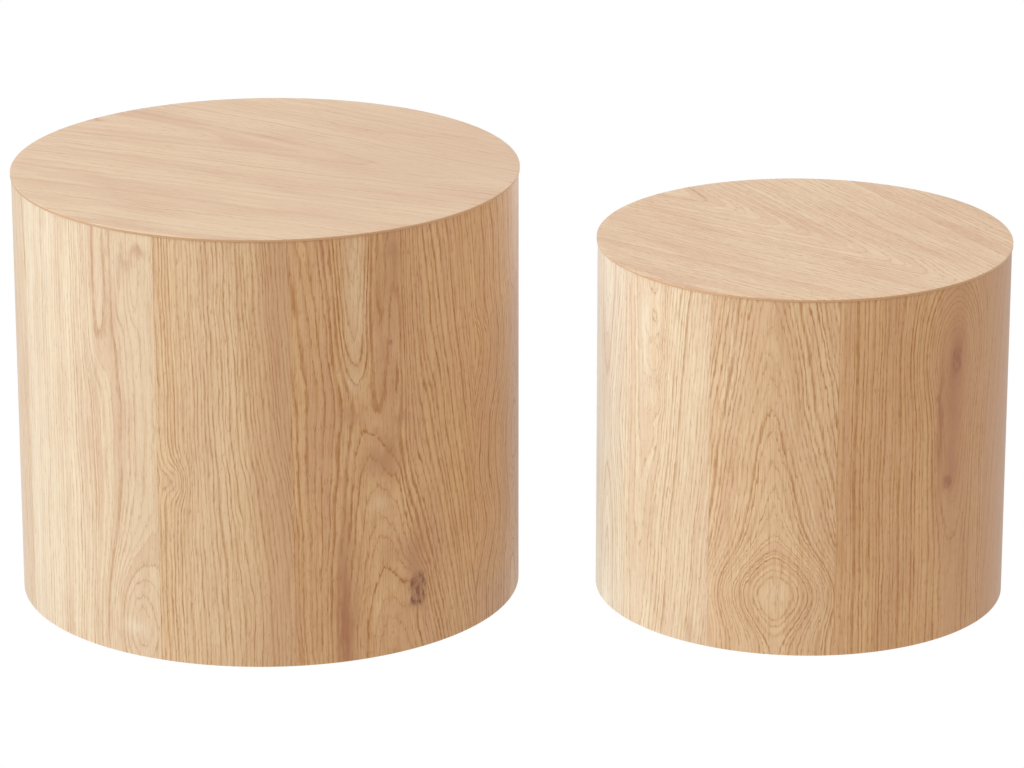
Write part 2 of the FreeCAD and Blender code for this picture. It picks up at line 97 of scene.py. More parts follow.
class Graph:
    """A node tree with short calls for the nodes used here. Any input may be a number or a socket."""

    def __init__(self, tree):
        self.tree = tree

    def feed(self, socket, value):
        if isinstance(value, bpy.types.NodeSocket):
            self.tree.links.new(value, socket)
        else:
            socket.default_value = value

    def add(self, kind, inputs=None, **settings):
        node = self.tree.nodes.new("ShaderNode" + kind)
        for name, value in settings.items():
            setattr(node, name, value)
        for name, value in (inputs or {}).items():
            self.feed(node.inputs[name], value)
        return node

    def math(self, operation, *values):
        node = self.add("Math", operation=operation)
        for socket, value in zip(node.inputs, values):
            self.feed(socket, value)
        return node.outputs[0]

    def total(self, *values):
        result = values[0]
        for value in values[1:]:
            result = self.math("ADD", result, value)
        return result

    def product(self, *values):
        result = values[0]
        for value in values[1:]:
            result = self.math("MULTIPLY", result, value)
        return result

    def less(self, a, b):
        return self.math("SUBTRACT", a, b)

    def distance(self, *values):
        """How long the vector of these lengths is."""
        return self.math("SQRT", self.total(*[self.product(value, value) for value in values]))

    def point(self, x, y, z=0.0):
        node = self.add("CombineXYZ")
        for socket, value in zip(node.inputs, (x, y, z)):
            self.feed(socket, value)
        return node.outputs[0]

    def scaled(self, place, *scales):
        """The point of these two or three numbers, each times its scale."""
        return self.point(*[self.product(value, scale) for value, scale in zip(place, scales)])

    def parts(self, vector):
        return self.add("SeparateXYZ", {0: vector}).outputs

    def noise(self, vector, detail=2.0, roughness=0.5):
        """Noise from 0 to 1, about 0.5 on average."""
        inputs = {"Vector": vector, "Scale": 1.0, "Detail": detail, "Roughness": roughness}
        return self.add("TexNoise", inputs).outputs["Fac"]

    def waver(self, vector, reach, detail=2.0, roughness=0.5):
        """Noise about 0 that seldom passes the reach."""
        return self.product(self.less(self.noise(vector, detail, roughness), 0.5), 2.0 * reach)

    def line_noise(self, place, detail=2.0):
        """Noise along one number."""
        inputs = {"W": place, "Scale": 1.0, "Detail": detail}
        return self.add("TexNoise", inputs, noise_dimensions="1D").outputs["Fac"]

    def chance(self, place):
        """A random number from 0 to 1 for each whole number."""
        return self.add("TexWhiteNoise", {"W": place}, noise_dimensions="1D").outputs["Value"]

    def fit(self, value, low, high, to_low=0.0, to_high=1.0, curve="SMOOTHSTEP"):
        inputs = {0: value, 1: low, 2: high, 3: to_low, 4: to_high}
        return self.add("MapRange", inputs, interpolation_type=curve).outputs[0]

    def mix(self, factor, a, b):
        """A colour between two. Sockets 2 to 5 of the node are for numbers and vectors."""
        node = self.add("Mix", data_type="RGBA")
        for socket, value in ((0, factor), (6, a), (7, b)):
            self.feed(node.inputs[socket], value)
        return node.outputs[2]


def new_group(name, inputs, outputs):
    """A node group of numbers, except for an output called Color."""
    tree = bpy.data.node_groups.new(name, "ShaderNodeTree")
    for label in inputs:
        tree.interface.new_socket(label, in_out="INPUT", socket_type="NodeSocketFloat")
    for label in outputs:
        kind = "NodeSocketColor" if label == "Color" else "NodeSocketFloat"
        tree.interface.new_socket(label, in_out="OUTPUT", socket_type=kind)
    given = tree.nodes.new("NodeGroupInput").outputs
    result = tree.nodes.new("NodeGroupOutput").inputs
    return tree, Graph(tree), given, result


def emptied_graph(owner):
    """The node graph of a material or a world, without the nodes it comes with."""
    owner.use_nodes = True
    owner.node_tree.nodes.clear()
    return Graph(owner.node_tree)


def new_material(name):
    material = bpy.data.materials.new(name)
    g = emptied_graph(material)
    shader = g.add("BsdfPrincipled")
    out = g.add("OutputMaterial")
    g.feed(out.inputs["Surface"], shader.outputs[0])
    return material, g, shader


def bump(g, shader, height, distance, strength=0.5):
    """Relief from a height of 0 to 1, whose full depth is the distance in metres."""
    node = g.add("Bump", {"Height": height, "Strength": strength, "Distance": distance})
    g.feed(shader.inputs["Normal"], node.outputs[0])


# --- oak --------------------------------------------------------------------------------------

# How a rise in the log, or a mark on a leaf, ends along its length: by fading, or level till it drops.
FADING = 1.0
LEVEL = 3.0

SEED_STRIDE = 17.3  # how far apart the noise of neighbouring seeds lies
CROWN_BLEND = 80.0  # mm over which the log stops narrowing at its crown
CROWN_FADE = 60.0  # mm either side of it where the rings' slope follows

# Bleached, deep and stain also paint highlights and shade on some leaves, the tops and the lipping.
OAK = {
    "straw": (0.800, 0.500, 0.245, 1.0),
    "tan": (0.690, 0.400, 0.185, 1.0),
    "bleached_and_painted_highlights": (0.850, 0.640, 0.410, 1.0),
    "deep": (0.580, 0.300, 0.130, 1.0),
    "blush": (0.620, 0.325, 0.180, 1.0),
    "late_wood": (0.600, 0.300, 0.125, 1.0),
    "stain_and_painted_shade": (0.450, 0.190, 0.088, 1.0),
    "ring": (0.440, 0.170, 0.040, 1.0),
    "pore": (0.340, 0.120, 0.028, 1.0),
    "fine_pore": (0.500, 0.225, 0.065, 1.0),
    "ray": (0.420, 0.175, 0.055, 1.0),
    "knot": (0.215, 0.070, 0.034, 1.0),
}


def make_swelling():
    """A rise in the log: its strength at its middle, falling to nothing over its width and length.

    A steepness of 1 makes its ends fade, and more keeps it level for longer. Lean and Climb are its
    slopes across and along the leaf.
    """
    tree, g, given, result = new_group(
        "oak_swelling",
        ("U", "V", "Across", "Height", "Width", "Length", "Strength", "Steepness"),
        ("Value", "Lean", "Climb"))
    steepness = given["Steepness"]
    across = g.math("DIVIDE", g.less(given["U"], given["Across"]), given["Width"])
    along = g.math("DIVIDE", g.less(given["V"], given["Height"]), given["Length"])
    level = g.math("MAXIMUM", g.product(along, along), 1e-4)
    fall = g.total(g.product(across, across), g.math("POWER", level, steepness))
    value = g.product(g.math("EXPONENT", g.product(fall, -1.0)), given["Strength"])
    # The slopes are the value's derivatives.
    lean = g.product(value, across, -2.0)
    climb = g.product(value, steepness, g.math("POWER", level, g.less(steepness, 1.0)), along, -2.0)
    g.feed(result["Value"], value)
    g.feed(result["Lean"], g.math("DIVIDE", lean, given["Width"]))
    g.feed(result["Climb"], g.math("DIVIDE", climb, given["Length"]))
    return tree


def make_knot():
    """A knot: how far it pushes the rings aside, the stain round it, and its dark rim and heart."""
    tree, g, given, result = new_group(
        "oak_knot",
        ("U", "V", "Across", "Height", "Width", "Length", "Dark"),
        ("Push", "Stain", "Dark"))
    u, v, dark = given["U"], given["V"], given["Dark"]
    across = g.math("DIVIDE", g.less(u, given["Across"]), given["Width"])
    along = g.math("DIVIDE", g.less(v, given["Height"]), given["Length"])
    ragged = g.point(g.product(u, 0.14), g.product(v, 0.09), given["Across"])
    across = g.total(across, g.waver(ragged, 0.5, 3.0))
    # Cubes in place of squares make its outline a little squarer than an oval.
    cubes = [g.math("POWER", g.math("ABSOLUTE", way), 3.0) for way in (across, along)]
    radius = g.math("POWER", g.total(*cubes), 1.0 / 3.0)
    near = g.math("EXPONENT", g.product(radius, radius, -0.45))
    patches = g.noise(g.point(g.product(u, 0.28), g.product(v, 0.10), given["Height"]), 3.0)
    patches = g.fit(patches, 0.36, 0.60, 0.22, 1.0)
    past_rim = g.less(radius, 0.9)
    rim = g.product(g.math("EXPONENT", g.product(past_rim, past_rim, -16.0)), patches)
    heart = g.product(g.fit(radius, 0.3, 1.1, 0.85, 0.0), patches)
    g.feed(result["Push"], g.product(near, given["Width"], -1.2))
    g.feed(result["Stain"], g.product(near, g.math("MINIMUM", dark, 0.75)))
    g.feed(result["Dark"], g.product(g.math("MAXIMUM", rim, heart), dark))
    return tree


def make_grain():
    """Flat-sliced oak where the knife meets growth rings.

    Radius is each point's distance from the log's heart in mm and Slope how fast that changes over
    the leaf. Stain, Dark and Pale colour it, a Pale below 0 making it darker; for some leaves, the
    tops and the lipping, Stain and Pale also carry painted shade and painted highlights. Plain is
    where the figure is faint, under a stain or a bleached place. Jag makes the rings' lines uneven.
    """
    tree, g, given, result = new_group(
        "oak_grain",
        ("U", "V", "Radius", "Slope", "Stain", "Plain", "Dark", "Spacing", "Seed", "Jag", "Pale",
         "Blush", "Contrast"),
        ("Color", "Roughness", "Height"))
    u, v, plain = given["U"], given["V"], given["Plain"]
    seed = g.product(given["Seed"], SEED_STRIDE)
    contrast = g.product(given["Contrast"], g.fit(plain, 0.15, 1.0, 1.0, 0.40, "LINEAR"))

    def field(across, along, layer=0.0):
        """A place for noise that changes this fast over a mm across and along the leaf."""
        return g.point(g.product(u, across), g.product(v, along), g.total(seed, layer))

    # Growth rings: each starts with a sharp dark line of pores and fades. Some are stronger than others.
    flutter = g.total(g.waver(field(0.17, 0.028), 1.0, 3.0, 0.62), g.waver(field(0.55, 0.05), 0.65))
    radius = g.total(given["Radius"], g.product(flutter, given["Jag"]))
    uneven = g.product(g.less(g.line_noise(g.total(g.product(radius, 0.09), seed)), 0.5), 1.8)
    rings = g.total(g.math("DIVIDE", radius, given["Spacing"]), uneven)
    phase = g.math("FRACT", rings)
    count = g.total(g.math("FLOOR", rings), seed)
    thick = g.math("DIVIDE", given["Slope"], given["Spacing"])
    thick = g.math("MINIMUM", g.math("MAXIMUM", thick, 0.065), 0.22)
    fade = g.math("MAXIMUM", g.fit(phase, 0.0, g.product(thick, 2.2), 1.0, 0.0),
                  g.fit(phase, 0.0, 0.6, 0.32, 0.0))
    onset = g.fit(phase, g.less(1.0, g.product(thick, 0.7)), 1.0, 0.0, 1.0, "LINEAR")
    strength, next_strength = [
        g.fit(g.chance(ring), 0.0, 1.0, 0.42, 1.0, "LINEAR") for ring in (count, g.total(count, 1.0))
    ]
    line = g.math("MAXIMUM", g.product(fade, strength), g.product(onset, next_strength))
    line = g.product(line, g.fit(g.noise(field(0.2, 0.02), 3.0), 0.30, 0.62, 0.45, 1.0))

    # Pores: short upright dashes, thick along the ring lines and thin elsewhere.
    threshold = g.fit(line, 0.0, 0.8, 0.64, 0.46, "LINEAR")
    pore = g.fit(g.noise(field(1.1, 0.10), 1.0), threshold, g.total(threshold, 0.10))
    fine_pore = g.fit(g.noise(field(0.75, 0.022, 4.0), 2.0, 0.6), 0.46, 0.66)
    ray = g.fit(g.noise(field(0.9, 0.08, 9.0), 0.0), 0.68, 0.76)

    # Colour: broad streaks between straw and tan, rings with a pinkish blush, then the dark parts.
    streak = g.noise(field(0.05, 0.0035, 2.0), 4.0, 0.62)
    cloud = g.noise(field(0.014, 0.008, 6.0), 3.0)
    tone = g.fit(g.total(g.product(streak, 0.6), g.product(cloud, 0.4)), 0.34, 0.66)
    wood = g.mix(tone, OAK["straw"], OAK["tan"])
    # Pale leans the wood towards the bleached colour above 0 and the deep one below. On the left-side
    # leaves and, in part, the tops this is painted highlight; on the lipping and the small table's right
    # side, painted shade.
    wood = g.mix(g.math("MAXIMUM", given["Pale"], 0.0), wood, OAK["bleached_and_painted_highlights"])
    wood = g.mix(g.math("MAXIMUM", g.product(given["Pale"], -1.0), 0.0), wood, OAK["deep"])
    ring_blush = g.fit(g.chance(g.total(count, 7.0)), 0.45, 1.0, 0.0, 1.0, "LINEAR")
    ring_blush = g.product(ring_blush, g.fit(phase, 0.0, 0.25, 0.0, 1.0))
    patch = g.fit(g.noise(field(0.03, 0.006, 11.0)), 0.45, 0.75)
    blush = g.product(given["Blush"], g.fit(plain, 0.2, 0.7, 1.0, 0.15, "LINEAR"))
    blush = g.product(g.total(g.product(ring_blush, 0.6), g.product(patch, 0.5)), blush)
    wood = g.mix(blush, wood, OAK["blush"])
    late = g.fit(phase, 0.35, 0.98, 0.0, 0.22, "LINEAR")
    wood = g.mix(g.product(late, contrast), wood, OAK["late_wood"])
    # The stain colour: real stains, and painted shade where a broad stain stands in for it.
    wood = g.mix(g.product(given["Stain"], 0.80), wood, OAK["stain_and_painted_shade"])
    for mark, most, colour in (
            (line, 0.86, "ring"), (pore, 0.40, "pore"), (fine_pore, 0.34, "fine_pore"),
            (ray, 0.24, "ray")):
        wood = g.mix(g.product(mark, contrast, most), wood, OAK[colour])
    wood = g.mix(given["Dark"], wood, OAK["knot"])

    g.feed(result["Color"], wood)
    g.feed(result["Roughness"],
           g.total(0.40, g.product(pore, 0.16), g.product(line, 0.08), g.product(streak, 0.05)))
    g.feed(result["Height"],
           g.total(g.product(pore, -0.6), g.product(fine_pore, -0.25), g.product(line, -0.35)))
    return tree


SWELLING = make_swelling()
KNOT = make_knot()
GRAIN = make_grain()


def use_group(g, tree, values):
    node = g.add("Group", node_tree=tree)
    for socket, value in zip(node.inputs, values):
        g.feed(socket, value)
    return node.outputs


def oak(name, heart=0.0, lean=0.0, depth=10.0, taper=0.10, crown=ALL, reach=ALL, swells=(),
        troughs=(), knots=(), stains_and_painted_shade=(), bleached_and_painted_highlights=(), waves=3.0, spacing=5.0, seed=1.0, jag=1.0,
        pale=0.0, blush=0.5, contrast=1.0):
    """Satin-lacquered oak with its own figure, in mm.

    The log's heart lies under the leaf at heart at its lower end and drifts by lean. Depth is how far
    from it the knife passed, and spacing how far apart the rings are. Taper is the log's, up to crown
    and within reach of the heart, waves its unevenness and jag that of its rings. Swells fade along
    their length and troughs are level along it. Both bend the rings, as knots do. Stains have torn
    edges and bleached places soft ones. Pale lightens the wood, or darkens it below 0, blush reddens
    it and contrast strengthens its lines. On some side leaves, the tops and the lipping, the broad
    stains, bleached places and pale are painted shade and painted highlights, as noted where given.
    """
    material, g, shader = new_material(name)
    across, along, _ = g.parts(g.add("UVMap", uv_map=LEAF_MAP).outputs[0])
    u = g.product(across, MM_PER_METRE)
    v = g.product(along, MM_PER_METRE)

    # How far each point is from the log's heart, and how fast that changes across and along the leaf.
    # Each noise has a stride of its own from seed to seed.
    wander = g.waver(g.point(0.0, g.product(v, 0.006), seed * 3.1), waves * 2.0)
    aside = g.less(u, g.total(heart, g.product(v, lean), wander))
    near = g.math("DIVIDE", aside, reach)
    near = g.math("EXPONENT", g.product(near, near, -1.0))
    away = g.distance(aside, depth)
    rise = g.math("SMOOTH_MIN", v, crown, CROWN_BLEND)
    log = g.total(away, g.product(rise, near, taper))
    leaning = g.math("DIVIDE", aside, away)
    climbing = g.product(near, g.fit(v, crown - CROWN_FADE, crown + CROWN_FADE, taper, 0.0))
    broad = g.point(g.product(u, 0.012), g.product(v, 0.006), seed * 5.7)
    narrow = g.point(g.product(u, 0.045), g.product(v, 0.016), seed * 7.9)
    log = g.total(log, g.waver(broad, waves * 1.6, 1.0), g.waver(narrow, waves * 0.7))
    for swell in [(*swell, FADING) for swell in swells] + [(*trough, LEVEL) for trough in troughs]:
        swelling = use_group(g, SWELLING, (u, v, *swell))
        log = g.total(log, swelling["Value"])
        leaning = g.total(leaning, swelling["Lean"])
        climbing = g.total(climbing, swelling["Climb"])
    slope = g.distance(leaning, climbing)

    # Stains and bleached places, the broad ones among them painted shade and painted highlights.
    stain_and_painted_shade = bleach_and_painted_highlights = dark = 0.0
    if stains_and_painted_shade:
        torn = g.waver(g.point(g.product(u, 0.10), g.product(v, 0.035), seed * 9.7), 9.0, 3.0)
        torn_u, torn_v = g.total(u, torn), g.total(v, torn, torn)
    for place in stains_and_painted_shade:
        stain_and_painted_shade = g.total(stain_and_painted_shade, use_group(g, SWELLING, (torn_u, torn_v, *place, FADING))["Value"])
    for place in bleached_and_painted_highlights:
        bleach_and_painted_highlights = g.total(bleach_and_painted_highlights, use_group(g, SWELLING, (u, v, *place, FADING))["Value"])
    for place in knots:
        knot = use_group(g, KNOT, (u, v, *place))
        log = g.total(log, knot["Push"])
        stain_and_painted_shade = g.total(stain_and_painted_shade, knot["Stain"])
        dark = g.total(dark, knot["Dark"])

    pale = g.total(pale, bleach_and_painted_highlights)
    plain = g.total(stain_and_painted_shade, bleach_and_painted_highlights)
    look = use_group(g, GRAIN, (u, v, log, slope, stain_and_painted_shade, plain, dark, spacing, seed, jag, pale, blush,
                                contrast))
    g.feed(shader.inputs["Base Color"], look["Color"])
    g.feed(shader.inputs["Roughness"], look["Roughness"])
    bump(g, shader, look["Height"], 0.2 * MM, 0.35)
    shader.inputs["Specular IOR Level"].default_value = 0.2
    shader.inputs["Coat Weight"].default_value = 1.0
    shader.inputs["Coat IOR"].default_value = 1.35
    shader.inputs["Coat Roughness"].default_value = 0.42
    return material


# --- raw materials inside ---------------------------------------------------------------------


def object_place(g):
    """The point's x, y and z in the object's own frame, in mm."""
    place = g.parts(g.add("TexCoord").outputs["Object"])
    return [g.product(value, MM_PER_METRE) for value in place]


def fibreboard(name, light, dark):
    """Pressed wood fibre: a soft mottle with fine fibres and specks."""
    material, g, shader = new_material(name)
    place = object_place(g)
    mottle = g.noise(g.scaled(place, 0.05, 0.05, 0.05), 3.0)
    fibre = g.noise(g.scaled(place, 0.9, 0.9, 2.5), 4.0, 0.7)
    speck = g.fit(g.noise(g.point(*place), 1.0), 0.66, 0.74)
    tone = g.fit(g.total(g.product(mottle, 0.4), g.product(fibre, 0.6)), 0.36, 0.64)
    wood = g.mix(tone, light, dark)
    wood = g.mix(g.product(speck, 0.5), wood, (0.20, 0.11, 0.055, 1.0))
    g.feed(shader.inputs["Base Color"], wood)
    g.feed(shader.inputs["Roughness"], g.fit(fibre, 0.3, 0.7, 0.78, 0.92))
    bump(g, shader, fibre, 0.15 * MM)
    return material


def bent_plywood(name, middle, r_in):
    """Birch plywood bent round an upright axis: grain on its bent faces, glued layers on its edges."""
    material, g, shader = new_material(name)
    x, y, z = object_place(g)
    x = g.less(x, middle[0] / MM)
    y = g.less(y, middle[1] / MM)
    radius = g.distance(x, y)
    turn = g.product(g.math("ARCTAN2", y, x), r_in / MM)
    nx, ny, _ = g.parts(g.add("NewGeometry").outputs["Normal"])
    outward = g.math("DIVIDE", g.total(g.product(nx, x), g.product(ny, y)), radius)
    cut = g.fit(g.math("ABSOLUTE", outward), 0.4, 0.8, 1.0, 0.0)

    figure = g.noise(g.scaled((turn, z), 0.10, 0.011), 3.0, 0.6)
    bands = g.math("FRACT", g.product(figure, 9.0))
    pore = g.noise(g.point(g.product(turn, 1.8), g.product(z, 0.12), 3.0), 1.0)
    face = g.mix(g.fit(figure, 0.3, 0.7), (0.780, 0.580, 0.360, 1.0), (0.700, 0.490, 0.285, 1.0))
    face = g.mix(g.fit(bands, 0.0, 0.25, 0.30, 0.0), face, (0.520, 0.320, 0.160, 1.0))
    face = g.mix(g.fit(pore, 0.58, 0.70, 0.0, 0.25), face, (0.470, 0.290, 0.150, 1.0))

    layers = g.math("DIVIDE", g.less(radius, r_in / MM), WALL / WALL_PLIES / MM)
    odd = g.math("FLOORED_MODULO", g.math("FLOOR", layers), 2.0)
    rough_end = g.noise(g.scaled((x, y, z), 1.7, 1.7, 1.7), 3.0, 0.7)
    edge = g.mix(odd, (0.760, 0.560, 0.350, 1.0), (0.540, 0.350, 0.190, 1.0))
    edge = g.mix(g.fit(rough_end, 0.45, 0.7, 0.0, 0.35), edge, (0.400, 0.240, 0.120, 1.0))
    glue = g.math("PINGPONG", layers, 0.5)
    edge = g.mix(g.fit(glue, 0.0, 0.09, 0.75, 0.0), edge, (0.260, 0.140, 0.070, 1.0))

    g.feed(shader.inputs["Base Color"], g.mix(cut, face, edge))
    g.feed(shader.inputs["Roughness"], g.fit(pore, 0.3, 0.7, 0.55, 0.68))
    bump(g, shader, g.mix(cut, pore, rough_end), 0.12 * MM)
    return material


def spruce(name):
    """Planed spruce, its grain upright: soft pale wood, narrow late rings and a few pin knots."""
    material, g, shader = new_material(name)
    place = object_place(g)
    x, y, _ = place
    bend = g.waver(g.scaled(place, 0.02, 0.02, 0.006), 5.0)
    phase = g.math("FRACT", g.product(g.total(x, g.product(y, 0.8), bend), 0.42))
    late = g.fit(phase, 0.35, 0.95)
    fibre = g.noise(g.scaled(place, 1.6, 1.6, 0.06), 2.0)
    wood = g.mix(late, (0.860, 0.690, 0.440, 1.0), (0.690, 0.440, 0.200, 1.0))
    wood = g.mix(g.fit(fibre, 0.45, 0.7, 0.0, 0.3), wood, (0.600, 0.400, 0.210, 1.0))
    knot = g.noise(g.scaled(place, 0.03, 0.03, 0.02), 0.0)
    wood = g.mix(g.fit(knot, 0.74, 0.77, 0.0, 0.8), wood, (0.330, 0.150, 0.060, 1.0))
    g.feed(shader.inputs["Base Color"], wood)
    g.feed(shader.inputs["Roughness"], g.fit(fibre, 0.3, 0.7, 0.55, 0.7))
    bump(g, shader, g.total(fibre, g.product(late, 0.5)), 0.1 * MM)
    return material


def beech(name):
    """Turned beech: even pinkish wood with short dark flecks."""
    material, g, shader = new_material(name)
    place = object_place(g)
    tone = g.noise(g.scaled(place, 0.25, 0.25, 0.04), 3.0)
    fleck = g.fit(g.noise(g.scaled(place, 2.4, 2.4, 0.5), 0.0), 0.60, 0.68)
    wood = g.mix(g.fit(tone, 0.3, 0.7), (0.720, 0.490, 0.310, 1.0), (0.620, 0.390, 0.230, 1.0))
    wood = g.mix(g.product(fleck, 0.5), wood, (0.380, 0.200, 0.110, 1.0))
    g.feed(shader.inputs["Base Color"], wood)
    g.feed(shader.inputs["Roughness"], g.fit(tone, 0.3, 0.7, 0.50, 0.62))
    bump(g, shader, fleck, 0.08 * MM)
    return material


def zinc(name):
    """Bright zinc plate on steel: a faint warm and cool cast and fine scuffs."""
    material, g, shader = new_material(name)
    place = object_place(g)
    cast = g.noise(g.scaled(place, 0.3, 0.3, 0.3), 3.0)
    scuff = g.noise(g.scaled(place, 3.0, 3.0, 9.0), 3.0, 0.7)
    metal = g.mix(g.fit(cast, 0.35, 0.65), (0.720, 0.735, 0.760, 1.0), (0.700, 0.680, 0.600, 1.0))
    g.feed(shader.inputs["Base Color"], metal)
    g.feed(shader.inputs["Roughness"], g.fit(scuff, 0.3, 0.7, 0.22, 0.42))
    bump(g, shader, scuff, 0.02 * MM)
    shader.inputs["Metallic"].default_value = 1.0
    return material


def moulded_plastic(name):
    """Matte brown plastic with a fine spark-eroded texture."""
    material, g, shader = new_material(name)
    place = object_place(g)
    texture = g.noise(g.scaled(place, 3.5, 3.5, 3.5), 2.0, 0.6)
    cloud = g.noise(g.scaled(place, 0.2, 0.2, 0.2))
    colour = g.mix(g.fit(cloud, 0.3, 0.7), (0.060, 0.036, 0.022, 1.0), (0.048, 0.028, 0.017, 1.0))
    g.feed(shader.inputs["Base Color"], colour)
    g.feed(shader.inputs["Roughness"], g.fit(texture, 0.3, 0.7, 0.42, 0.58))
    bump(g, shader, texture, 0.03 * MM)
    return material


def felt(name):
    """Pressed wool felt: matted fibres of several browns, which run both ways, with a soft nap."""
    material, g, shader = new_material(name)
    place = object_place(g)
    x, y, z = place
    swirl = g.waver(g.scaled(place, 0.8, 0.8, 0.8), 1.5)
    fibres = [
        g.point(g.total(g.product(x, 4.0), swirl), g.product(y, 1.2), g.product(z, 3.0)),
        g.point(g.product(x, 1.2), g.total(g.product(y, 4.0), swirl), g.product(z, 3.0)),
    ]
    nap = g.math("MAXIMUM", *[g.noise(way, 3.0, 0.7) for way in fibres])
    wool = g.mix(g.fit(nap, 0.42, 0.68), (0.120, 0.078, 0.045, 1.0), (0.270, 0.190, 0.120, 1.0))
    g.feed(shader.inputs["Base Color"], wool)
    g.feed(shader.inputs["Roughness"], g.fit(nap, 0.3, 0.7, 0.90, 1.0))
    bump(g, shader, nap, 0.3 * MM, 0.8)
    shader.inputs["Sheen Weight"].default_value = 0.4
    shader.inputs["Sheen Roughness"].default_value = 0.6
    return material


# --- shapes -----------------------------------------------------------------------------------

SMOOTH_BELOW = math.radians(32.0)


def finish_mesh(name, bm, material):
    """Turns a bmesh into an object whose shallow edges shade smooth and whose sharp ones stay crisp."""
    bmesh.ops.recalc_face_normals(bm, faces=bm.faces)
    for edge in bm.edges:
        edge.smooth = len(edge.link_faces) == 2 and edge.calc_face_angle(0.0) < SMOOTH_BELOW
    mesh = bpy.data.meshes.new(name)
    bm.to_mesh(mesh)
    bm.free()
    mesh.polygons.foreach_set("use_smooth", [True] * len(mesh.polygons))
    mesh.materials.append(material)
    obj = bpy.data.objects.new(name, mesh)
    bpy.context.scene.collection.objects.link(obj)
    return obj


def axis_of(node):
    """Where the upright axis of a round node is, its outer radius and its two heights."""
    low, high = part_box(node)
    middle = ((low[0] + high[0]) / 2, (low[1] + high[1]) / 2)
    return middle, (high[0] - low[0]) / 2, low[2], high[2]


def bent_leaf(name, material, middle, r_in, r_out, z_low, z_high, start, end):
    """A strip of veneer bent round an upright axis with its long edges eased, about a step a degree."""
    ease = 0.12 * MM
    levels = 6
    steps = max(8, round(math.degrees(end - start)))
    slip = ease / r_out
    angles = [start, start + slip]
    angles += [start + (end - start) * i / steps for i in range(1, steps)]
    angles += [end - slip, end]
    depths = [r_out - ease] + [r_out] * (len(angles) - 2) + [r_out - ease]
    heights = [z_low + (z_high - z_low) * i / levels for i in range(levels + 1)]
    half = (start + end) / 2
    bm = bmesh.new()
    uv = bm.loops.layers.uv.new(LEAF_MAP)
    flat = {}

    def row(radii, z):
        verts = []
        for r, angle in zip(radii, angles):
            vert = bm.verts.new((middle[0] + r * math.cos(angle), middle[1] + r * math.sin(angle), z))
            flat[vert] = ((angle - half) * r_out, z - z_low)
            verts.append(vert)
        return verts

    def strip(low, high):
        for i in range(len(angles) - 1):
            bm.faces.new((low[i], low[i + 1], high[i + 1], high[i]))

    outer = [row(depths, z) for z in heights]
    inner = [row([r_in] * len(angles), z) for z in (z_low, z_high)]
    for rows in (outer, inner, (outer[0], inner[0]), (outer[-1], inner[-1])):
        for low, high in zip(rows, rows[1:]):
            strip(low, high)
    for side in (0, -1):
        rim = [line[side] for line in outer]
        bm.faces.new([*rim, inner[1][side], inner[0][side]])
    for face in bm.faces:
        for loop in face.loops:
            loop[uv].uv = flat[loop.vert]
    return finish_mesh(name, bm, material)


def seen_from_above(grain, z_high):
    """A flat map for a top, across and along its grain, which runs on down the rim."""
    def place(r, turn, z):
        r += z_high - z
        x, y = r * math.cos(turn), r * math.sin(turn)
        return -x * math.sin(grain) + y * math.cos(grain), x * math.cos(grain) + y * math.sin(grain)
    return place


def wound_round(radius):
    """A flat map for a strip laid round an edge: up and along it."""
    def place(r, turn, z):
        return z + r, turn * radius
    return place


def lathe(name, material, middle, profile, flat_map, steps=360):
    """A piece turned about an upright axis from (radius, z) points.

    They start and end on the axis, or else the last joins the first.
    """
    bm = bmesh.new()
    uv = bm.loops.layers.uv.new(LEAF_MAP)
    turns = [BACK + 2 * math.pi * i / steps for i in range(steps + 1)]
    rings = []
    for r, z in profile:
        count = steps if r > 0.0 else 1
        rings.append([
            bm.verts.new((middle[0] + r * math.cos(turn), middle[1] + r * math.sin(turn), z))
            for turn in turns[:count]
        ])
    closed = len(rings[0]) > 1
    after = list(range(1, len(profile))) + ([0] if closed else [])
    for low, high in enumerate(after):
        for i in range(steps):
            corners = [(low, i), (low, i + 1), (high, i + 1), (high, i)]
            if len(rings[low]) == 1:
                corners = [(low, i), (high, i + 1), (high, i)]
            elif len(rings[high]) == 1:
                corners = [(low, i), (low, i + 1), (high, i)]
            face = bm.faces.new([rings[ring][k % len(rings[ring])] for ring, k in corners])
            for loop, (ring, k) in zip(face.loops, corners):
                loop[uv].uv = flat_map(profile[ring][0], turns[k], profile[ring][1])
    return finish_mesh(name, bm, material)
